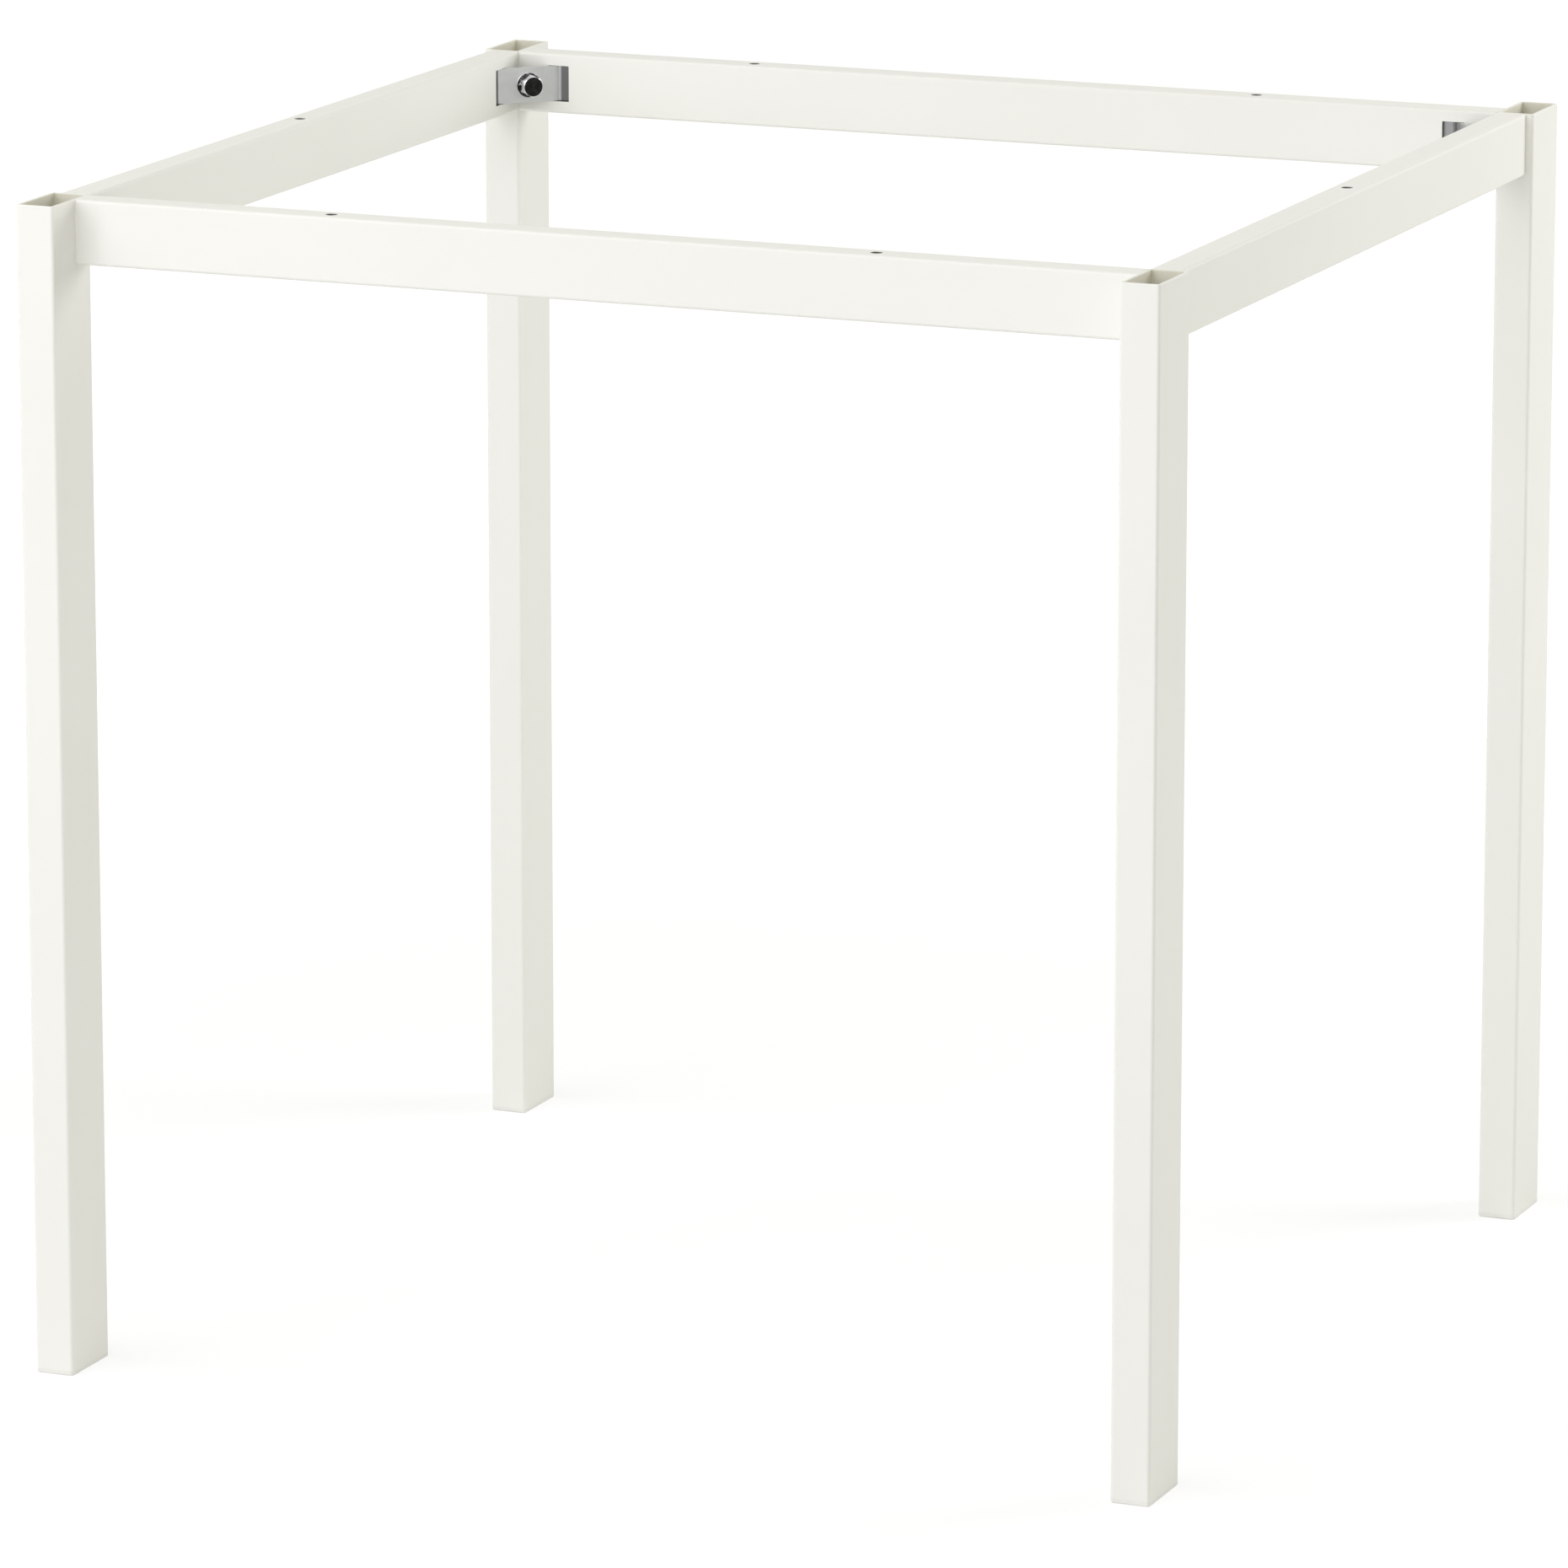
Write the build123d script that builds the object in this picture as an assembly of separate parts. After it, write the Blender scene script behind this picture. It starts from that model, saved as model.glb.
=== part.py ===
from build123d import *

import math
import os

# Underframe of a square table: four tube legs, four tube rails between them, and a bolted
# bracket in each inner corner. Sizes are in millimetres. X is the width, Y the depth and Z is
# up. The origin is on the floor, under the middle of the frame.

# Whole frame
FRAME_WIDTH = 735.0
FRAME_DEPTH = 735.0
FRAME_HEIGHT = 732.0

# Leg tube, with its narrow side along X
LEG_WIDTH = 25.0
LEG_DEPTH = 50.0
LEG_WALL = 2.0
LEG_CORNER_RADIUS = 2.0
LEG_RIM_RADIUS = 0.6

# Rail tube, with its inner face flush with the legs' inner faces and its top with their tops
RAIL_THICKNESS = 20.0
RAIL_HEIGHT = 40.0
RAIL_WALL = 1.5
RAIL_CORNER_RADIUS = 2.0

# Smallest inside corner that either tube is formed with
TUBE_INSIDE_RADIUS_LEAST = 0.3

# Holes through the rails for the screws that hold a table top
SCREW_HOLE_DIAMETER = 7.5
SCREW_SPACING = 352.0

# Slot near each end of a rail, in its inner wall, measured from the rail's end
SLOT_START = 21.5
SLOT_LENGTH = 15.0
SLOT_HEIGHT = 24.0
SLOT_CORNER_RADIUS = 0.5

# Corner bracket: a strip across the corner whose bent ends hook behind the rails' walls
STRIP_THICKNESS = 2.5
STRIP_BEND_RADIUS = 3.0
STRIP_SIDE_CLEARANCE = 0.3
STRIP_SEAT_CLEARANCE = 0.3
HOOK_SETBACK = 1.2
HOOK_REACH = 2.5

# Hexagon flange bolt
BOLT_DIAMETER = 8.0
BOLT_HOLE_CLEARANCE = 0.5
BOLT_TIP_CHAMFER = 1.0
BOLT_TIP_LENGTH = 2.0
HEAD_ACROSS_FLATS = 13.0
HEAD_HEIGHT = 10.0
HEAD_FACE_MARGIN = 0.35
HEAD_CHAMFER_ANGLE = 30.0
FLANGE_DIAMETER = 17.0
FLANGE_RIM_THICKNESS = 1.2
FLANGE_CONE_RISE = 1.2
FLANGE_EDGE_RADIUS = 0.3

# Threaded block in each leg's inner corner
BLOCK_SIDE_ROOM = 4.0
BLOCK_HEIGHT = 20.0
BLOCK_CORNER_CHAMFER = 2.0
THREAD_CLEARANCE = 0.05

# Foot plug: a sole flush with the tube, and a hollow body with one rib inside the tube
SOLE_THICKNESS = 3.0
SOLE_EDGE_RADIUS = 1.0
PLUG_HEIGHT = 18.0
PLUG_WALL = 2.0
PLUG_RIB_THICKNESS = 2.0
PLUG_CLEARANCE = 0.15

# How far a cutting shape runs past the surface that it cuts
CUT_MARGIN = 1.0

# Derived levels and lengths
DIAGONAL = math.sqrt(2.0)
LEG_INSIDE_WIDTH = LEG_WIDTH - 2 * LEG_WALL
LEG_INSIDE_DEPTH = LEG_DEPTH - 2 * LEG_WALL
LONG_RAIL_LENGTH = FRAME_WIDTH - 2 * LEG_WIDTH
SIDE_RAIL_LENGTH = FRAME_DEPTH - 2 * LEG_DEPTH
RAIL_MIDDLE_Z = FRAME_HEIGHT - RAIL_HEIGHT / 2
BOLT_HOLE_RADIUS = BOLT_DIAMETER / 2 + BOLT_HOLE_CLEARANCE

# Distances along the corner's diagonal, from the leg's inner corner towards the frame's middle
STRIP_BACK = SLOT_START / DIAGONAL + STRIP_SEAT_CLEARANCE
STRIP_FRONT = STRIP_BACK + STRIP_THICKNESS
BLOCK_SIDE = LEG_INSIDE_WIDTH - BLOCK_SIDE_ROOM
BLOCK_FAR_FACE = -(DIAGONAL * LEG_WALL + BLOCK_SIDE / DIAGONAL)
BOLT_LENGTH = STRIP_FRONT - BLOCK_FAR_FACE + BOLT_TIP_LENGTH

# Each corner of the frame: which side of X and of Y it is on, and its turn about Z from the
# front left corner, whose inside points along +X and +Y
CORNERS = {
    "front_left": (-1, -1, 0),
    "front_right": (1, -1, 90),
    "back_right": (1, 1, 180),
    "back_left": (-1, 1, 270),
}


def tube_section(width, depth, wall, radius):
    """Section of a rectangular tube with rounded corners."""
    inside_radius = max(radius - wall, TUBE_INSIDE_RADIUS_LEAST)
    outside = RectangleRounded(width, depth, radius)
    inside = RectangleRounded(width - 2 * wall, depth - 2 * wall, inside_radius)
    return outside - inside


def diagonal_plane(distance):
    """Plane square to the front left corner's diagonal, at a distance from the inner corner."""
    offset = distance / DIAGONAL
    return Plane(origin=(offset, offset, 0), x_dir=(0, 0, 1), z_dir=(1, 1, 0))


def bolt_passage():
    """Clearance hole for the bolt, through the inner corner where the leg and two rails meet."""
    reach = STRIP_FRONT + CUT_MARGIN
    return diagonal_plane(0) * Cylinder(BOLT_HOLE_RADIUS, 2 * reach)


def inner_corner(name):
    """Place of a leg's inner corner, at the middle height of the rails."""
    side_x, side_y, turn = CORNERS[name]
    x = side_x * (FRAME_WIDTH / 2 - LEG_WIDTH)
    y = side_y * (FRAME_DEPTH / 2 - LEG_DEPTH)
    return Pos(x, y, RAIL_MIDDLE_Z) * Rot(0, 0, turn)


def leg_place(name):
    """Place of a leg's middle line on the floor."""
    side_x, side_y, _ = CORNERS[name]
    return Pos(side_x * (FRAME_WIDTH - LEG_WIDTH) / 2, side_y * (FRAME_DEPTH - LEG_DEPTH) / 2, 0)


def leg(name):
    """Leg tube, open at the top, with a bolt hole through its inner corner edge."""
    section = tube_section(LEG_WIDTH, LEG_DEPTH, LEG_WALL, LEG_CORNER_RADIUS)
    tube = Pos(0, 0, SOLE_THICKNESS) * extrude(section, amount=FRAME_HEIGHT - SOLE_THICKNESS)
    rim = tube.faces().sort_by(Axis.Z)[-1].edges()
    tube = fillet(rim, LEG_RIM_RADIUS)
    return leg_place(name) * tube - inner_corner(name) * bolt_passage()


def foot_plug(name):
    """Plastic plug for a leg's lower end."""
    sole = extrude(RectangleRounded(LEG_WIDTH, LEG_DEPTH, LEG_CORNER_RADIUS), amount=SOLE_THICKNESS)
    sole = fillet(sole.faces().sort_by(Axis.Z)[0].edges(), SOLE_EDGE_RADIUS)
    body_width = LEG_INSIDE_WIDTH - 2 * PLUG_CLEARANCE
    body_depth = LEG_INSIDE_DEPTH - 2 * PLUG_CLEARANCE
    body_section = tube_section(body_width, body_depth, PLUG_WALL, LEG_CORNER_RADIUS)
    rib_section = Rectangle(body_width - PLUG_WALL, PLUG_RIB_THICKNESS)
    body = Pos(0, 0, SOLE_THICKNESS) * extrude(body_section + rib_section, amount=PLUG_HEIGHT)
    return leg_place(name) * (sole + body)


def rail(length, screw_places):
    """Rail tube along X with its inner face towards +Y, and its middle at the origin.

    Its ends are notched where the bolts pass, its inner wall has a slot near each end, and
    screw holes go through its top and bottom walls.
    """
    section = tube_section(RAIL_THICKNESS, RAIL_HEIGHT, RAIL_WALL, RAIL_CORNER_RADIUS)
    body = extrude(Plane.YZ * section, amount=length / 2, both=True)
    inner_face = RAIL_THICKNESS / 2
    slot = extrude(
        Plane.XZ * RectangleRounded(SLOT_LENGTH, SLOT_HEIGHT, SLOT_CORNER_RADIUS),
        amount=RAIL_WALL + CUT_MARGIN,
        both=True,
    )
    slot_middle = length / 2 - SLOT_START - SLOT_LENGTH / 2
    for side, turn in ((-1, 0), (1, 90)):
        body -= Pos(side * slot_middle, inner_face, 0) * slot
        body -= Pos(side * length / 2, inner_face, 0) * Rot(0, 0, turn) * bolt_passage()
    for place in screw_places:
        body -= Pos(place, 0, 0) * Cylinder(SCREW_HOLE_DIAMETER / 2, RAIL_HEIGHT + CUT_MARGIN)
    return body


def rails():
    """The four rails in place, by name."""
    middle_x = FRAME_WIDTH / 2 - LEG_WIDTH + RAIL_THICKNESS / 2
    middle_y = FRAME_DEPTH / 2 - LEG_DEPTH + RAIL_THICKNESS / 2
    long_rail = rail(LONG_RAIL_LENGTH, (-SCREW_SPACING / 2, SCREW_SPACING / 2))
    side_rail = rail(SIDE_RAIL_LENGTH, (0,))
    return {
        "rail_front": Pos(0, -middle_y, RAIL_MIDDLE_Z) * long_rail,
        "rail_back": Pos(0, middle_y, RAIL_MIDDLE_Z) * Rot(0, 0, 180) * long_rail,
        "rail_left": Pos(-middle_x, 0, RAIL_MIDDLE_Z) * Rot(0, 0, -90) * side_rail,
        "rail_right": Pos(middle_x, 0, RAIL_MIDDLE_Z) * Rot(0, 0, 90) * side_rail,
    }


def corner_bracket():
    """Bent strip across the front left corner, with its back against the slots' near edges."""
    strip_height = SLOT_HEIGHT - 2 * STRIP_SIDE_CLEARANCE
    hook_depth = RAIL_WALL + HOOK_SETBACK + STRIP_THICKNESS / 2
    bend = DIAGONAL * (STRIP_BACK + STRIP_THICKNESS / 2) + hook_depth
    tip = SLOT_START + SLOT_LENGTH + HOOK_REACH
    path = FilletPolyline(
        (tip, -hook_depth),
        (bend, -hook_depth),
        (-hook_depth, bend),
        (-hook_depth, tip),
        radius=STRIP_BEND_RADIUS,
    )
    start = Plane(origin=path @ 0, x_dir=(0, 0, 1), z_dir=path % 0)
    strip = sweep(start * Rectangle(strip_height, STRIP_THICKNESS), path=path)
    return strip - bolt_passage()


def corner_bolt():
    """Hexagon flange bolt, seated on the bracket and screwed into the nut block."""
    hexagon_radius = HEAD_ACROSS_FLATS / 2
    corner_radius = hexagon_radius / math.cos(math.pi / 6)
    face_radius = hexagon_radius - HEAD_FACE_MARGIN
    chamfer_drop = (corner_radius - face_radius) * math.tan(math.radians(HEAD_CHAMFER_ANGLE))
    hexagon = RegularPolygon(radius=hexagon_radius, side_count=6, major_radius=False)
    envelope = Polyline(
        (0, 0),
        (corner_radius, 0),
        (corner_radius, HEAD_HEIGHT - chamfer_drop),
        (face_radius, HEAD_HEIGHT),
        (0, HEAD_HEIGHT),
        close=True,
    )
    head = extrude(hexagon, amount=HEAD_HEIGHT) & revolve(Plane.XZ * make_face(envelope), Axis.Z)

    rim = Cylinder(
        FLANGE_DIAMETER / 2, FLANGE_RIM_THICKNESS, align=(Align.CENTER, Align.CENTER, Align.MIN)
    )
    rim = fillet(rim.edges().filter_by(GeomType.CIRCLE).sort_by(Axis.Z)[-1], FLANGE_EDGE_RADIUS)
    cone = Pos(0, 0, FLANGE_RIM_THICKNESS) * Cone(
        FLANGE_DIAMETER / 2 - FLANGE_EDGE_RADIUS,
        corner_radius,
        FLANGE_CONE_RISE,
        align=(Align.CENTER, Align.CENTER, Align.MIN),
    )

    shank = Cylinder(
        BOLT_DIAMETER / 2, BOLT_LENGTH, align=(Align.CENTER, Align.CENTER, Align.MAX)
    )
    shank = chamfer(shank.edges().filter_by(GeomType.CIRCLE).sort_by(Axis.Z)[0], BOLT_TIP_CHAMFER)
    return diagonal_plane(STRIP_FRONT) * (head + rim + cone + shank)


def nut_block():
    """Threaded block that bears on both inside walls of the front left leg's inner corner."""
    near = -LEG_WALL
    far = near - BLOCK_SIDE
    cut = near - BLOCK_CORNER_CHAMFER
    outline = Polyline((cut, near), (far, near), (near, far), (near, cut), close=True)
    block = extrude(make_face(outline), amount=BLOCK_HEIGHT / 2, both=True)
    thread_radius = BOLT_DIAMETER / 2 + THREAD_CLEARANCE
    thread = diagonal_plane(BLOCK_FAR_FACE) * Cylinder(thread_radius, 2 * BOLT_LENGTH)
    return block - thread


def build_nodes():
    """Every piece of the frame in place, by node name."""
    nodes = {}
    for name in CORNERS:
        nodes["leg_" + name] = leg(name)
    nodes.update(rails())
    for name in CORNERS:
        nodes["corner_bracket_" + name] = inner_corner(name) * corner_bracket()
        nodes["nut_block_" + name] = inner_corner(name) * nut_block()
        nodes["foot_plug_" + name] = foot_plug(name)
    nodes["corner_bolts"] = Compound([inner_corner(name) * corner_bolt() for name in CORNERS])
    return nodes


os.makedirs("parts", exist_ok=True)
for node_name, shape in build_nodes().items():
    export_step(shape, os.path.join("parts", node_name + ".step"))
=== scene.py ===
"""Underframe of a square table: its finishes, a plain studio and the camera.

Everything is in metres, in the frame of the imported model: X is the width, Y the depth
from front to back, Z is up, and the origin is on the floor under the middle of the frame.
"""

from __future__ import annotations

import logging
import math
from dataclasses import dataclass
from enum import Enum

import bmesh
import bpy
from mathutils import Matrix, Vector

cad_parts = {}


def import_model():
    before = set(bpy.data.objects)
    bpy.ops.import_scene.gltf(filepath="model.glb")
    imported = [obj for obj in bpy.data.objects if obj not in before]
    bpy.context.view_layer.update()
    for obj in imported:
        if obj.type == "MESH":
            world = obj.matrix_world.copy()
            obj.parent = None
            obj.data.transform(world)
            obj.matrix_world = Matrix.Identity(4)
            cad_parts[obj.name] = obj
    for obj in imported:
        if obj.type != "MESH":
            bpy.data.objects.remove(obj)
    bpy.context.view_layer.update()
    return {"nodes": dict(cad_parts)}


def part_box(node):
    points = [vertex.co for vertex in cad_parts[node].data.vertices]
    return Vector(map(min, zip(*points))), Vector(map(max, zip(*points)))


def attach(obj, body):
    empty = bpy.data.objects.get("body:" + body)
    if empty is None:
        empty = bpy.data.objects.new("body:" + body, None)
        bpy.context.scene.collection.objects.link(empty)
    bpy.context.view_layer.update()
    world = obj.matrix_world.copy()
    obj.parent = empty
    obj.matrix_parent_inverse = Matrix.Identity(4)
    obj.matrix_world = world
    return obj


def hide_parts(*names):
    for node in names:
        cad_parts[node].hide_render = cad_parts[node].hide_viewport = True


log = logging.getLogger("table_frame")

Colour = tuple[float, float, float]
Point = tuple[float, float, float]

# Inner corner of each leg, by its distances from the frame's middle along X and along Y
INNER_X = 0.3425
INNER_Y = 0.3175


class Corner(Enum):
    """Corner of the frame, by the end of its node's name."""

    FRONT_LEFT = "front_left"
    FRONT_RIGHT = "front_right"
    BACK_RIGHT = "back_right"
    BACK_LEFT = "back_left"


class Side(Enum):
    """Side of the frame, by the end of its rail's name."""

    FRONT = "front"
    BACK = "back"
    LEFT = "left"
    RIGHT = "right"


class Sheet:
    """Node sheet of one material, with short calls for the nodes that the finishes use."""

    def __init__(self, name: str) -> None:
        """Makes an empty material with a surface shader and an output.

        Args:
            name: Name of the material.
        """
        self.material = bpy.data.materials.new(name)
        self.material.use_nodes = True
        self.tree = self.material.node_tree
        self.tree.nodes.clear()
        self.shader = self.add("ShaderNodeBsdfPrincipled")
        output = self.add("ShaderNodeOutputMaterial")
        self.link(self.shader.outputs["BSDF"], output.inputs["Surface"])
        self.place = self.add("ShaderNodeTexCoord").outputs["Object"]

    def add(self, kind: str, **settings: object) -> bpy.types.Node:
        """Adds a node.

        Args:
            kind: Blender's name for the kind of node.
            settings: Values for the node's own properties.

        Returns:
            The new node.
        """
        node = self.tree.nodes.new(kind)
        for name, value in settings.items():
            setattr(node, name, value)
        return node

    def link(self, source: bpy.types.NodeSocket, target: bpy.types.NodeSocket) -> None:
        """Joins an output to an input."""
        self.tree.links.new(source, target)

    def noise(
        self,
        scale: float,
        detail: float = 2.0,
        roughness: float = 0.5,
        stretch: Point = (1.0, 1.0, 1.0),
    ) -> bpy.types.NodeSocket:
        """Adds noise in the row frame.

        Args:
            scale: Waves in a metre.
            detail: Number of finer layers.
            roughness: Share that each finer layer keeps.
            stretch: Factors on the place along X, Y and Z.

        Returns:
            The noise's value, about 0.5 on average.
        """
        mapping = self.add("ShaderNodeMapping")
        mapping.inputs["Scale"].default_value = stretch
        self.link(self.place, mapping.inputs["Vector"])
        texture = self.add("ShaderNodeTexNoise")
        texture.inputs["Scale"].default_value = scale
        texture.inputs["Detail"].default_value = detail
        texture.inputs["Roughness"].default_value = roughness
        self.link(mapping.outputs["Vector"], texture.inputs["Vector"])
        return texture.outputs["Fac"]

    def spread(
        self, value: bpy.types.NodeSocket, low: float, high: float, span: float = 0.25
    ) -> bpy.types.NodeSocket:
        """Maps the middle of a noise onto a range.

        Args:
            value: Noise with an average of 0.5.
            low: Result at the lower end.
            high: Result at the upper end.
            span: How far from 0.5 the ends lie.

        Returns:
            The mapped value.
        """
        node = self.add("ShaderNodeMapRange")
        node.inputs["From Min"].default_value = 0.5 - span
        node.inputs["From Max"].default_value = 0.5 + span
        node.inputs["To Min"].default_value = low
        node.inputs["To Max"].default_value = high
        self.link(value, node.inputs["Value"])
        return node.outputs["Result"]

    def maths(
        self, operation: str, first: bpy.types.NodeSocket, second: bpy.types.NodeSocket | float = 0.0
    ) -> bpy.types.NodeSocket:
        """Adds a sum, product or other operation on values.

        Args:
            operation: Blender's name for the operation.
            first: First value.
            second: Second value, a socket or a number.

        Returns:
            The result.
        """
        node = self.add("ShaderNodeMath", operation=operation)
        self.link(first, node.inputs[0])
        if isinstance(second, bpy.types.NodeSocket):
            self.link(second, node.inputs[1])
        else:
            node.inputs[1].default_value = second
        return node.outputs["Value"]

    def rise(self, value: bpy.types.NodeSocket, start: float, end: float) -> bpy.types.NodeSocket:
        """Maps a value onto a smooth step.

        Args:
            value: The value.
            start: Value at which the step is still 0.
            end: Value from which the step is 1, above or below the start.

        Returns:
            The step, from 0 to 1.
        """
        node = self.add("ShaderNodeMapRange", interpolation_type="SMOOTHSTEP")
        node.inputs["From Min"].default_value = start
        node.inputs["From Max"].default_value = end
        self.link(value, node.inputs["Value"])
        return node.outputs["Result"]

    def along(self, axis: str) -> bpy.types.NodeSocket:
        """Returns the place along an axis, X, Y or Z."""
        apart = self.add("ShaderNodeSeparateXYZ")
        self.link(self.place, apart.inputs["Vector"])
        return apart.outputs[axis]

    def off_middle(self) -> tuple[bpy.types.NodeSocket, bpy.types.NodeSocket]:
        """Returns the distances from the middle of the frame along X and along Y."""
        along_x = self.maths("ABSOLUTE", self.along("X"))
        along_y = self.maths("ABSOLUTE", self.along("Y"))
        return along_x, along_y

    def blend(
        self,
        share: bpy.types.NodeSocket,
        low: Colour | bpy.types.NodeSocket,
        high: Colour | bpy.types.NodeSocket,
    ) -> bpy.types.NodeSocket:
        """Blends two colours.

        Args:
            share: 0 for the first colour, 1 for the second.
            low: First colour, plain or from another blend.
            high: Second colour, plain or from another blend.

        Returns:
            The blended colour.
        """
        node = self.add("ShaderNodeMix", data_type="RGBA")
        self.link(share, node.inputs["Factor"])
        for name, colour in (("A", low), ("B", high)):
            if isinstance(colour, bpy.types.NodeSocket):
                self.link(colour, node.inputs[name])
            else:
                node.inputs[name].default_value = (*colour, 1.0)
        return node.outputs["Result"]

    def bump(self, height: bpy.types.NodeSocket, strength: float, depth: float) -> None:
        """Gives the shader a bump.

        Args:
            height: Height as a value from 0 to 1.
            strength: How much of the bump shows.
            depth: Height in metres at a value of 1.
        """
        node = self.add("ShaderNodeBump")
        node.inputs["Strength"].default_value = strength
        node.inputs["Distance"].default_value = depth
        self.link(height, node.inputs["Height"])
        self.link(node.outputs["Normal"], self.shader.inputs["Normal"])

    def set(self, **values: object) -> None:
        """Sets plain values on the shader, with underscores for the spaces in their names."""
        for name, value in values.items():
            self.shader.inputs[name.replace("_", " ")].default_value = value


@dataclass(frozen=True)
class PowderCoat:
    """Slightly warm white powder coat with a fine orange peel.

    Inside the legs the coat is painted darker and yellower, as painted shade of the tube's hollow;
    inside the rails and in the screw holes it is uncoated steel painted near black, partly painted
    shade.
    """

    name: str = "white_powder_coat"
    light: Colour = (0.885, 0.874, 0.832)
    deep: Colour = (0.862, 0.852, 0.806)
    # Painted shade: the walls inside the legs are painted darker and yellower than the coat.
    inside: Colour = (0.8, 0.775, 0.67)
    # Uncoated steel inside the rails and screw holes, painted near black, partly painted shade.
    uncoated_and_shaded: Colour = (0.15, 0.14, 0.125)
    outer: float = 0.3675
    top: float = 0.732
    rail_low: float = 0.692
    rail_thickness: float = 0.02
    leg_skin: float = 0.0017
    rail_skin: float = 0.0012
    hole_skin: float = 0.0003
    fade: float = 0.0002
    cloud_scale: float = 7.0
    peel_scale: float = 620.0
    peel_depth: float = 0.00006
    peel_strength: float = 0.22
    roughness_low: float = 0.42
    roughness_high: float = 0.52
    grain_scale: float = 2400.0
    ior: float = 1.42

    def material(self) -> bpy.types.Material:
        """Returns the coat as a material."""
        sheet = Sheet(self.name)
        cloud = sheet.spread(sheet.noise(self.cloud_scale, detail=3.0), 0.0, 1.0)
        coat = sheet.blend(cloud, self.deep, self.light)
        # Painted shade in the legs' hollows, darker and yellower than the coat.
        colour = sheet.blend(self.in_legs(sheet), coat, self.inside)
        # Uncoated steel inside the rails and holes, kept near black as painted shade.
        colour = sheet.blend(self.in_rails(sheet), colour, self.uncoated_and_shaded)
        sheet.link(colour, sheet.shader.inputs["Base Color"])
        grain = sheet.noise(self.grain_scale, detail=1.0)
        roughness = sheet.spread(grain, self.roughness_low, self.roughness_high)
        sheet.link(roughness, sheet.shader.inputs["Roughness"])
        sheet.bump(sheet.noise(self.peel_scale, detail=1.5), self.peel_strength, self.peel_depth)
        sheet.set(IOR=self.ior)
        return sheet.material

    def between(
        self, sheet: Sheet, value: bpy.types.NodeSocket, low: float, high: float, skin: float
    ) -> bpy.types.NodeSocket:
        """Finds what lies inside two opposite walls of a tube.

        Args:
            sheet: Node sheet of the coat.
            value: Place across the walls.
            low: Outside of the one wall.
            high: Outside of the other wall.
            skin: Depth in each wall from which it counts as inside.

        Returns:
            1 inside the walls, and 0 elsewhere.
        """
        past_low = sheet.rise(value, low + skin, low + skin + self.fade)
        past_high = sheet.rise(value, high - skin, high - skin - self.fade)
        return sheet.maths("MULTIPLY", past_low, past_high)

    def in_legs(self, sheet: Sheet) -> bpy.types.NodeSocket:
        """Returns 1 on the walls inside a leg, and 0 elsewhere."""
        along_x, along_y = sheet.off_middle()
        across = self.between(sheet, along_x, INNER_X, self.outer, self.leg_skin)
        deep = self.between(sheet, along_y, INNER_Y, self.outer, self.leg_skin)
        return sheet.maths("MULTIPLY", across, deep)

    def in_rails(self, sheet: Sheet) -> bpy.types.NodeSocket:
        """Returns 1 on the walls inside a rail and in its screw holes, and 0 elsewhere."""
        along_x, along_y = sheet.off_middle()
        shares = []
        for across, inner, along, end in (
            (along_y, INNER_Y, along_x, INNER_X),
            (along_x, INNER_X, along_y, INNER_Y),
        ):
            thick = self.between(sheet, across, inner, inner + self.rail_thickness, self.rail_skin)
            shares.append(sheet.maths("MULTIPLY", thick, sheet.rise(along, end, end - self.fade)))
        upright = self.between(sheet, sheet.along("Z"), self.rail_low, self.top, self.hole_skin)
        return sheet.maths("MULTIPLY", sheet.maths("MAXIMUM", shares[0], shares[1]), upright)


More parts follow.
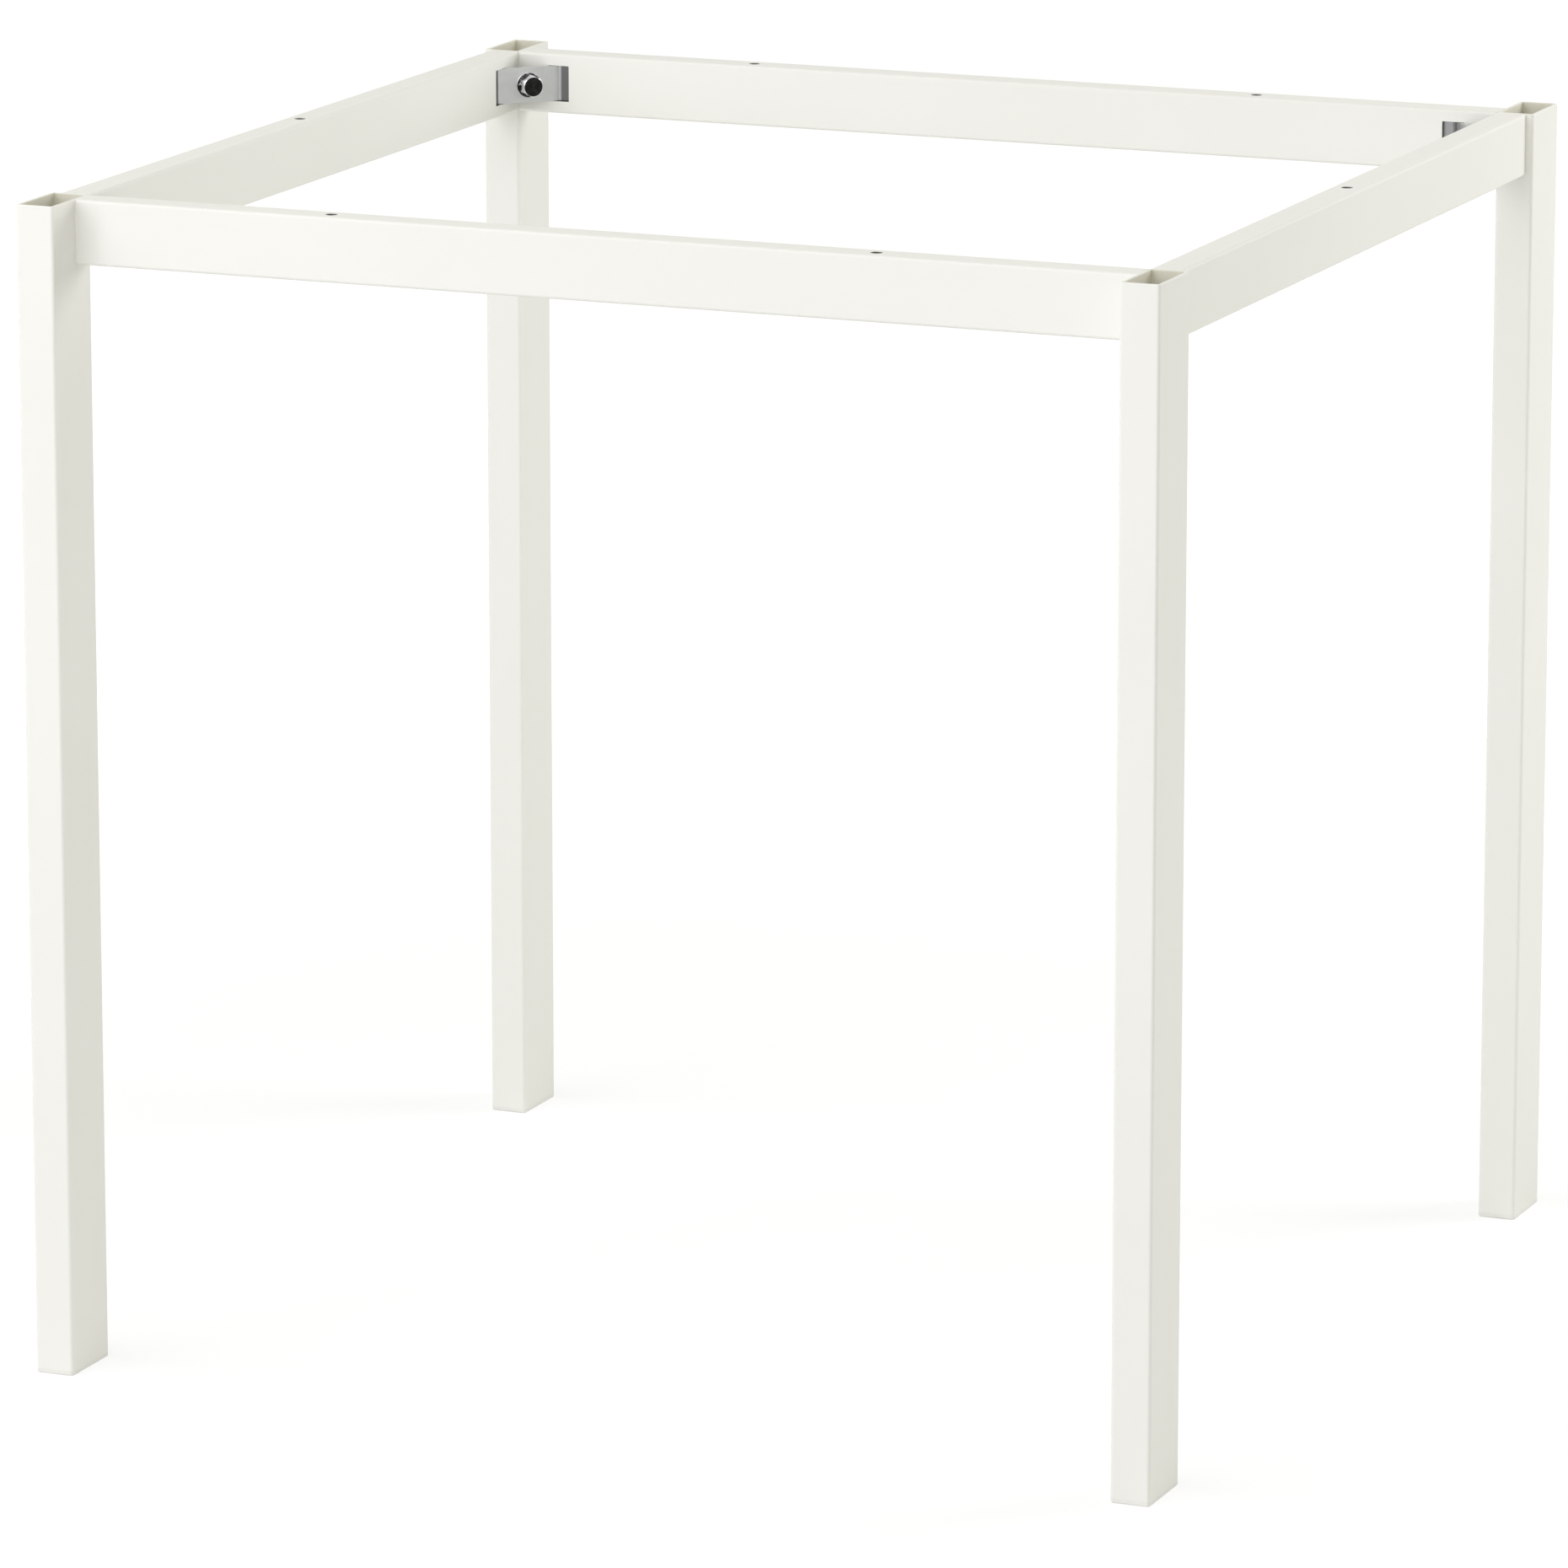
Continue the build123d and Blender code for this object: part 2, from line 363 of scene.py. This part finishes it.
@dataclass(frozen=True)
class ZincPlate:
    """Satin zinc plating over rolled strip, with painted shade on its bends and on the hooks inside
    the rails; on the right-hand brackets the bends are darker and the hooks lighter.
    """

    name: str = "zinc_plated_strip"
    light: Colour = (0.68, 0.69, 0.69)
    deep: Colour = (0.61, 0.62, 0.62)
    # Painted shade on the hooks inside the rails, lighter on the right-hand brackets.
    hook_shade: Colour = (0.17, 0.172, 0.17)
    hook_shade_right: Colour = (0.29, 0.292, 0.285)
    bend_x: float = 0.0276
    # Share of painted shade on the bend, on the left-hand and on the right-hand brackets.
    bend_shade_share: float = 0.4
    bend_shade_share_right: float = 1.0
    right_start: float = -0.1
    right_end: float = 0.1
    hook_shade_x: float = 0.0302
    hook_shade_y: float = 0.0282
    hook_shade_rise: float = 0.0005
    streak_scale: float = 60.0
    streak_squeeze: float = 40.0
    cloud_scale: float = 130.0
    roughness_low: float = 0.36
    roughness_high: float = 0.46
    streak_depth: float = 0.00002
    streak_strength: float = 0.12

    def material(self) -> bpy.types.Material:
        """Returns the plating as a material."""
        sheet = Sheet(self.name)
        cloud = sheet.spread(sheet.noise(self.cloud_scale, detail=4.0, roughness=0.6), 0.0, 1.0)
        plating = sheet.blend(cloud, self.deep, self.light)
        along_x, along_y = sheet.off_middle()
        start_x = INNER_X - self.bend_x
        end_x = INNER_X - self.hook_shade_x
        end_y = INNER_Y - self.hook_shade_y
        # Painted shade: darker on the bend and on the hooks inside the rails.
        bent = sheet.rise(along_x, start_x + self.hook_shade_rise, start_x - self.hook_shade_rise)
        in_hook_shade = sheet.maths(
            "MAXIMUM",
            sheet.rise(along_x, end_x + self.hook_shade_rise, end_x),
            sheet.rise(along_y, end_y + self.hook_shade_rise, end_y),
        )
        right = sheet.rise(sheet.along("X"), self.right_start, self.right_end)
        bend_shade_share = sheet.spread(right, self.bend_shade_share, self.bend_shade_share_right, 0.5)
        colour = sheet.blend(sheet.maths("MULTIPLY", bent, bend_shade_share), plating, self.hook_shade)
        colour = sheet.blend(in_hook_shade, colour, sheet.blend(right, self.hook_shade, self.hook_shade_right))
        sheet.link(colour, sheet.shader.inputs["Base Color"])
        along = (1.0, 1.0, self.streak_squeeze)
        streak = sheet.noise(self.streak_scale, detail=3.0, roughness=0.6, stretch=along)
        roughness = sheet.spread(streak, self.roughness_low, self.roughness_high)
        sheet.link(roughness, sheet.shader.inputs["Roughness"])
        sheet.bump(streak, self.streak_strength, self.streak_depth)
        sheet.set(Metallic=1.0)
        return sheet.material


@dataclass(frozen=True)
class BrightBolt:
    """Bright plating on a bolt, with painted dark reflection and shade round its flange and along
    its head, and a mottled painted black reflection on its end face.

    Distances are taken along the bolt from the inner corner of the leg.
    """

    name: str = "bright_plated_bolt"
    plating: Colour = (0.76, 0.765, 0.77)
    # Painted dark reflection and shade round the flange and along the head.
    dark_reflection_shade: Colour = (0.045, 0.045, 0.043)
    # Painted black reflection on the end face, with a lighter mottle.
    face_reflection_black: Colour = (0.014, 0.014, 0.013)
    face_reflection_mottle: Colour = (0.034, 0.034, 0.032)
    rim: float = 0.0191
    cone: float = 0.0205
    streak_end: float = 0.0235
    face: float = 0.0279
    rim_fade: float = 0.0002
    cone_fade: float = 0.0004
    face_fade: float = 0.0001
    patch_noise_scale: float = 420.0
    groove_patch_step: tuple[float, float] = (0.36, 0.46)
    streak_patch_step: tuple[float, float] = (0.5, 0.62)
    face_mottle_span: float = 0.2
    plating_roughness: float = 0.14
    roughness_spread: float = 0.04
    black_roughness: float = 0.42
    grain_scale: float = 1500.0
    grain_depth: float = 0.00003
    grain_strength: float = 0.35

    def material(self) -> bpy.types.Material:
        """Returns the bolt's finish as a material."""
        sheet = Sheet(self.name)
        along_x, along_y = sheet.off_middle()
        across = sheet.maths("ADD", along_x, along_y)
        way = sheet.maths("SUBTRACT", across, INNER_X + INNER_Y)
        along = sheet.maths("MULTIPLY", way, -math.sqrt(0.5))
        face = sheet.rise(along, self.face - self.face_fade, self.face)
        patch_noise = sheet.noise(self.patch_noise_scale, detail=3.0, roughness=0.6)
        # Painted dark reflection and shade on the flange and head.
        colour = sheet.blend(self.dark_patch_share(sheet, along, patch_noise), self.plating, self.dark_reflection_shade)
        # Painted black reflection on the end face, mottled.
        colour = sheet.blend(face, colour, self.face_reflection_black)
        face_reflection_mottle = sheet.maths("MULTIPLY", face, sheet.spread(patch_noise, 0.0, 1.0, self.face_mottle_span))
        colour = sheet.blend(face_reflection_mottle, colour, self.face_reflection_mottle)
        sheet.link(colour, sheet.shader.inputs["Base Color"])
        grain = sheet.noise(self.grain_scale, detail=2.0)
        rough = sheet.maths(
            "ADD",
            sheet.maths("MULTIPLY", face, self.black_roughness - self.plating_roughness),
            sheet.spread(
                grain,
                self.plating_roughness - self.roughness_spread,
                self.plating_roughness + self.roughness_spread,
            ),
        )
        sheet.link(rough, sheet.shader.inputs["Roughness"])
        sheet.bump(sheet.maths("MULTIPLY", grain, face), self.grain_strength, self.grain_depth)
        sheet.set(Metallic=1.0)
        return sheet.material

    def dark_patch_share(
        self, sheet: Sheet, along: bpy.types.NodeSocket, patch_noise: bpy.types.NodeSocket
    ) -> bpy.types.NodeSocket:
        """Finds the share of painted dark reflection and shade on the bolt.

        Args:
            sheet: Node sheet of the finish.
            along: Distance along the bolt.
            patch_noise: Noise that breaks up the painted dark patches.

        Returns:
            The dirt's share, high on the flange's cone and fading along the head.
        """
        past_rim = sheet.rise(along, self.rim, self.rim + self.rim_fade)
        below_cone = sheet.rise(along, self.cone + self.cone_fade, self.cone)
        on_cone = sheet.maths("MULTIPLY", past_rim, below_cone)
        on_head = sheet.maths("MULTIPLY", past_rim, sheet.rise(along, self.streak_end, self.cone))
        groove = sheet.maths("MULTIPLY", on_cone, sheet.rise(patch_noise, *self.groove_patch_step))
        streaks = sheet.maths("MULTIPLY", on_head, sheet.rise(patch_noise, *self.streak_patch_step))
        return sheet.maths("MAXIMUM", groove, streaks)


@dataclass(frozen=True)
class PlainSteel:
    """Plain machined steel of the nut blocks."""

    name: str = "plain_steel_block"
    light: Colour = (0.46, 0.46, 0.46)
    deep: Colour = (0.36, 0.36, 0.365)
    mark_scale: float = 90.0
    mark_squeeze: float = 25.0
    roughness_low: float = 0.34
    roughness_high: float = 0.5

    def material(self) -> bpy.types.Material:
        """Returns the steel as a material."""
        sheet = Sheet(self.name)
        along = (1.0, 1.0, self.mark_squeeze)
        marks = sheet.noise(self.mark_scale, detail=3.0, stretch=along)
        share = sheet.spread(marks, 0.0, 1.0)
        sheet.link(sheet.blend(share, self.deep, self.light), sheet.shader.inputs["Base Color"])
        roughness = sheet.spread(marks, self.roughness_low, self.roughness_high)
        sheet.link(roughness, sheet.shader.inputs["Roughness"])
        sheet.set(Metallic=1.0)
        return sheet.material


@dataclass(frozen=True)
class MouldedPlastic:
    """Matt white moulded plastic of the foot plugs."""

    name: str = "white_foot_plastic"
    light: Colour = (0.86, 0.85, 0.81)
    deep: Colour = (0.82, 0.81, 0.77)
    cloud_scale: float = 30.0
    grain_scale: float = 1800.0
    grain_depth: float = 0.00004
    grain_strength: float = 0.3
    roughness: float = 0.55
    ior: float = 1.46

    def material(self) -> bpy.types.Material:
        """Returns the plastic as a material."""
        sheet = Sheet(self.name)
        cloud = sheet.spread(sheet.noise(self.cloud_scale, detail=2.0), 0.0, 1.0)
        sheet.link(sheet.blend(cloud, self.deep, self.light), sheet.shader.inputs["Base Color"])
        sheet.bump(sheet.noise(self.grain_scale), self.grain_strength, self.grain_depth)
        sheet.set(Roughness=self.roughness, IOR=self.ior)
        return sheet.material


def dress(node: bpy.types.Object, material: bpy.types.Material) -> None:
    """Gives a node its finish.

    Args:
        node: The node's object, which keeps its mesh and place.
        material: The finish.
    """
    node.data.materials.clear()
    node.data.materials.append(material)
    log.info("%s: %s", node.name, material.name)


@dataclass
class Tubes:
    """The four legs and four rails, all with one coat."""

    nodes: dict[str, bpy.types.Object]
    coat: PowderCoat = PowderCoat()

    def dress(self) -> None:
        """Coats every tube, inside and outside."""
        material = self.coat.material()
        for corner in Corner:
            dress(self.nodes["leg_" + corner.value], material)
        for side in Side:
            dress(self.nodes["rail_" + side.value], material)


@dataclass
class CornerJoints:
    """The bracket and nut block in each inner corner."""

    nodes: dict[str, bpy.types.Object]
    strip: ZincPlate = ZincPlate()
    block: PlainSteel = PlainSteel()

    def dress(self) -> None:
        """Gives the pieces of each joint their surface."""
        strip = self.strip.material()
        block = self.block.material()
        for corner in Corner:
            dress(self.nodes["corner_bracket_" + corner.value], strip)
            dress(self.nodes["nut_block_" + corner.value], block)


@dataclass
class CornerBolts:
    """The four corner bolts, each with its head and plain neck and a cut thread below them.

    Lengths along a bolt are taken from the seat under its flange.
    """

    nodes: dict[str, bpy.types.Object]
    finish: BrightBolt = BrightBolt()
    seat: float = 0.018
    length: float = 0.03485
    neck: float = 0.003
    pitch: float = 0.00125
    crest_radius: float = 0.004
    root_radius: float = 0.0033
    foot_sink: float = 0.0001
    foot_share: float = 0.44
    crest_share: float = 0.07
    spare_turns: float = 1.5
    tip_chamfer: float = 0.0005
    tip_share: float = 0.99
    weld: float = 1e-6
    turn_steps: int = 28
    sharp_angle: float = math.radians(20.0)

    def dress(self) -> None:
        """Makes the bolts as one piece that stands for their node."""
        shape = bmesh.new()
        shape.from_mesh(self.nodes["corner_bolts"].data)
        bmesh.ops.remove_doubles(shape, verts=shape.verts[:], dist=self.weld)
        thread = self.thread()
        for side_x in (-1.0, 1.0):
            for side_y in (-1.0, 1.0):
                self.rethread(shape, thread, side_x, side_y)
        bpy.data.meshes.remove(thread)
        self.shade(shape)
        mesh = bpy.data.meshes.new("threaded_corner_bolts")
        shape.to_mesh(mesh)
        shape.free()
        piece = bpy.data.objects.new("threaded_corner_bolts", mesh)
        bpy.context.scene.collection.objects.link(piece)
        dress(piece, self.finish.material())
        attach(piece, "root")
        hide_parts("corner_bolts")

    def thread(self) -> bpy.types.Mesh:
        """Returns a threaded shank that hangs from its seat at the origin, along -Z."""
        shape = bmesh.new()
        core = bmesh.ops.create_cone(
            shape,
            cap_ends=True,
            segments=self.turn_steps,
            radius1=self.root_radius,
            radius2=self.root_radius,
            depth=self.length,
        )
        bmesh.ops.translate(shape, verts=core["verts"], vec=(0.0, 0.0, -self.length / 2))
        tip = [
            edge
            for edge in shape.edges
            if all(vertex.co.z < -self.tip_share * self.length for vertex in edge.verts)
        ]
        bmesh.ops.bevel(
            shape,
            geom=tip,
            offset=self.tip_chamfer,
            affect="EDGES",
            segments=1,
            profile=0.5,
            material=-1,
        )
        self.wind(shape)
        bmesh.ops.recalc_face_normals(shape, faces=shape.faces[:])
        mesh = bpy.data.meshes.new("thread")
        shape.to_mesh(mesh)
        shape.free()
        return mesh

    def wind(self, shape: bmesh.types.BMesh) -> None:
        """Winds the thread's ridge round its core.

        Args:
            shape: Mesh that holds the core.
        """
        foot = self.root_radius - self.foot_sink
        low = self.pitch - self.length
        section = [
            shape.verts.new((radius, 0.0, low + share * self.pitch))
            for radius, share in (
                (foot, -self.foot_share),
                (self.crest_radius, -self.crest_share),
                (self.crest_radius, self.crest_share),
                (foot, self.foot_share),
            )
        ]
        loop = [shape.edges.new((section[i - 1], section[i])) for i in range(4)]
        turns = (self.length - self.neck) / self.pitch - self.spare_turns
        steps = round(turns * self.turn_steps)
        spun = bmesh.ops.spin(
            shape,
            geom=section + loop,
            axis=(0.0, 0.0, 1.0),
            dvec=(0.0, 0.0, self.pitch / self.turn_steps),
            angle=2.0 * math.pi * steps / self.turn_steps,
            steps=steps,
        )
        last = [item for item in spun["geom_last"] if isinstance(item, bmesh.types.BMEdge)]
        bmesh.ops.holes_fill(shape, edges=loop + last)

    def rethread(
        self, shape: bmesh.types.BMesh, thread: bpy.types.Mesh, side_x: float, side_y: float
    ) -> None:
        """Gives one bolt a threaded shank below its neck.

        Args:
            shape: Mesh of the four bolts.
            thread: Threaded shank at the origin.
            side_x: -1 for a left corner, 1 for a right one.
            side_y: -1 for a front corner, 1 for a back one.
        """
        low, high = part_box("corner_bolts")
        inwards = Vector((-side_x, -side_y, 0.0)).normalized()
        corner = Vector((side_x * INNER_X, side_y * INNER_Y, (low.z + high.z) / 2))
        seat = corner + inwards * self.seat
        verts = [v for v in shape.verts if v.co.x * side_x > 0.0 and v.co.y * side_y > 0.0]
        faces = {face for vertex in verts for face in vertex.link_faces}
        edges = {edge for vertex in verts for edge in vertex.link_edges}
        cut = bmesh.ops.bisect_plane(
            shape,
            geom=[*verts, *edges, *faces],
            plane_co=seat - inwards * self.neck,
            plane_no=inwards,
            clear_inner=True,
        )
        rim = [item for item in cut["geom_cut"] if isinstance(item, bmesh.types.BMEdge)]
        bmesh.ops.holes_fill(shape, edges=rim)
        before = set(shape.verts)
        shape.from_mesh(thread)
        added = [vertex for vertex in shape.verts if vertex not in before]
        upright = Vector((0.0, 0.0, 1.0))
        turn = Matrix((upright, inwards.cross(upright), inwards)).transposed()
        bmesh.ops.transform(shape, matrix=Matrix.Translation(seat) @ turn.to_4x4(), verts=added)

    def shade(self, shape: bmesh.types.BMesh) -> None:
        """Shades the bolts smooth between their edges.

        Args:
            shape: Mesh of the four bolts.
        """
        for face in shape.faces:
            face.smooth = True
        for edge in shape.edges:
            edge.smooth = edge.calc_face_angle(0.0) < self.sharp_angle


@dataclass
class FootPlugs:
    """The plug in the lower end of each leg."""

    nodes: dict[str, bpy.types.Object]
    plastic: MouldedPlastic = MouldedPlastic()

    def dress(self) -> None:
        """Gives every plug its plastic."""
        material = self.plastic.material()
        for corner in Corner:
            dress(self.nodes["foot_plug_" + corner.value], material)


@dataclass(frozen=True)
class Lamp:
    """Square soft light."""

    name: str
    place: Point
    aim: Point
    side: float
    watts: float
    colour: Colour

    def build(self) -> None:
        """Makes the lamp and turns it to its aim."""
        light = bpy.data.lights.new(self.name, "AREA")
        light.shape = "SQUARE"
        light.size = self.side
        light.energy = self.watts
        light.color = self.colour
        lamp = bpy.data.objects.new(self.name, light)
        lamp.location = self.place
        way = Vector(self.aim) - Vector(self.place)
        lamp.rotation_euler = way.to_track_quat("-Z", "Y").to_euler()
        bpy.context.scene.collection.objects.link(lamp)


@dataclass
class Studio:
    """White floor and backdrop, with broad soft light and a small key lamp at the front left."""

    floor_side: float = 60.0
    floor_colour: Colour = (0.85, 0.85, 0.84)
    floor_glow: float = 0.84
    near_glow: float = 0.69
    near_reach: float = 0.7
    far_reach: float = 2.2
    floor_shade: float = 0.36
    ambient: Colour = (0.474, 0.475, 0.421)
    lamps: tuple[Lamp, ...] = (
        Lamp("key_lamp", (-2.505, -3.858, 1.33), (0.0, 0.0, 0.4), 0.85, 16.7, (0.886, 0.879, 1.0)),
        Lamp("front_lamp", (-0.64, -4.555, 1.5), (0.0, 0.0, 0.4), 4.0, 57.0, (0.868, 0.872, 1.0)),
        Lamp("high_front_lamp", (-0.5, -3.0, 3.4), (0.0, 0.0, 0.5), 3.0, 32.0, (0.957, 0.971, 1.0)),
        Lamp("high_left_lamp", (-2.8, -1.6, 3.4), (0.0, 0.0, 0.5), 2.6, 43.0, (0.96, 0.971, 1.0)),
        Lamp("right_lamp", (2.1, 1.5, 1.5), (0.3, 0.3, 0.5), 1.4, 31.0, (0.959, 0.959, 1.0)),
    )

    def build(self) -> None:
        """Makes the floor, the world and the lamps."""
        self.build_floor()
        self.build_world()
        for lamp in self.lamps:
            lamp.build()

    def build_floor(self) -> None:
        """Makes a pale floor that shows white and keeps the frame's shadow."""
        mesh = bpy.data.meshes.new("floor")
        shape = bmesh.new()
        bmesh.ops.create_grid(shape, x_segments=1, y_segments=1, size=self.floor_side / 2)
        shape.to_mesh(mesh)
        shape.free()
        floor = bpy.data.objects.new("floor", mesh)
        bpy.context.scene.collection.objects.link(floor)
        mesh.materials.append(self.floor_material())

    def floor_material(self) -> bpy.types.Material:
        """Returns the floor's material, which adds a glow for the camera's rays alone."""
        material = bpy.data.materials.new("floor_white")
        material.use_nodes = True
        tree = material.node_tree
        tree.nodes.clear()
        output = tree.nodes.new("ShaderNodeOutputMaterial")
        path = tree.nodes.new("ShaderNodeLightPath")
        bounce = tree.nodes.new("ShaderNodeBsdfDiffuse")
        bounce.inputs["Color"].default_value = (*self.floor_colour, 1.0)
        shade = tree.nodes.new("ShaderNodeBsdfDiffuse")
        shade.inputs["Color"].default_value = (self.floor_shade,) * 3 + (1.0,)
        glow = tree.nodes.new("ShaderNodeEmission")
        place = tree.nodes.new("ShaderNodeTexCoord")
        distance = tree.nodes.new("ShaderNodeVectorMath")
        distance.operation = "LENGTH"
        tree.links.new(place.outputs["Object"], distance.inputs[0])
        level = tree.nodes.new("ShaderNodeMapRange")
        level.interpolation_type = "SMOOTHSTEP"
        level.inputs["From Min"].default_value = self.near_reach
        level.inputs["From Max"].default_value = self.far_reach
        level.inputs["To Min"].default_value = self.near_glow
        level.inputs["To Max"].default_value = self.floor_glow
        tree.links.new(distance.outputs["Value"], level.inputs["Value"])
        tree.links.new(level.outputs["Result"], glow.inputs["Strength"])
        shown = tree.nodes.new("ShaderNodeAddShader")
        tree.links.new(shade.outputs["BSDF"], shown.inputs[0])
        tree.links.new(glow.outputs["Emission"], shown.inputs[1])
        mix = tree.nodes.new("ShaderNodeMixShader")
        tree.links.new(path.outputs["Is Camera Ray"], mix.inputs["Fac"])
        tree.links.new(bounce.outputs["BSDF"], mix.inputs[1])
        tree.links.new(shown.outputs["Shader"], mix.inputs[2])
        tree.links.new(mix.outputs["Shader"], output.inputs["Surface"])
        return material

    def build_world(self) -> None:
        """Makes a world that is white to the camera and in gloss, and softer as light."""
        world = bpy.data.worlds.new("studio_world")
        world.use_nodes = True
        tree = world.node_tree
        tree.nodes.clear()
        output = tree.nodes.new("ShaderNodeOutputWorld")
        path = tree.nodes.new("ShaderNodeLightPath")
        seen = tree.nodes.new("ShaderNodeMath")
        seen.operation = "MAXIMUM"
        tree.links.new(path.outputs["Is Camera Ray"], seen.inputs[0])
        through = tree.nodes.new("ShaderNodeMath")
        through.operation = "MAXIMUM"
        tree.links.new(path.outputs["Is Glossy Ray"], through.inputs[0])
        tree.links.new(path.outputs["Is Transmission Ray"], through.inputs[1])
        tree.links.new(through.outputs["Value"], seen.inputs[1])
        ambient = tree.nodes.new("ShaderNodeBackground")
        ambient.inputs["Color"].default_value = (*self.ambient, 1.0)
        white = tree.nodes.new("ShaderNodeBackground")
        mix = tree.nodes.new("ShaderNodeMixShader")
        tree.links.new(seen.outputs["Value"], mix.inputs["Fac"])
        tree.links.new(ambient.outputs["Background"], mix.inputs[1])
        tree.links.new(white.outputs["Background"], mix.inputs[2])
        tree.links.new(mix.outputs["Shader"], output.inputs["Surface"])
        white.inputs["Color"].default_value = (1.0, 1.0, 1.0, 1.0)
        bpy.context.scene.world = world


@dataclass(frozen=True)
class Camera:
    """Long lens camera at the photograph's viewing angle."""

    place: Point = (2.22605, -5.40048, 1.66662)
    azimuth: float = 22.572
    elevation: float = 12.904
    lens: float = 217.6
    sensor: float = 36.0
    reach: float = 200.0

    def build(self) -> None:
        """Makes the camera and gives it to the scene."""
        data = bpy.data.cameras.new("photo_camera")
        data.lens = self.lens
        data.sensor_width = self.sensor
        data.clip_end = self.reach
        camera = bpy.data.objects.new("photo_camera", data)
        camera.location = self.place
        pitch = math.radians(90.0 - self.elevation)
        camera.rotation_euler = (pitch, 0.0, math.radians(self.azimuth))
        bpy.context.scene.collection.objects.link(camera)
        bpy.context.scene.camera = camera


def main() -> None:
    """Loads the frame, dresses its pieces and builds the studio and the camera."""
    logging.basicConfig(level=logging.INFO, format="%(message)s")
    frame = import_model()
    bpy.context.scene.view_settings.view_transform = "Standard"
    nodes = frame["nodes"]
    for assembly in (Tubes(nodes), CornerJoints(nodes), CornerBolts(nodes), FootPlugs(nodes)):
        assembly.dress()
    Studio().build()
    Camera().build()


if __name__ == "__main__":
    main()
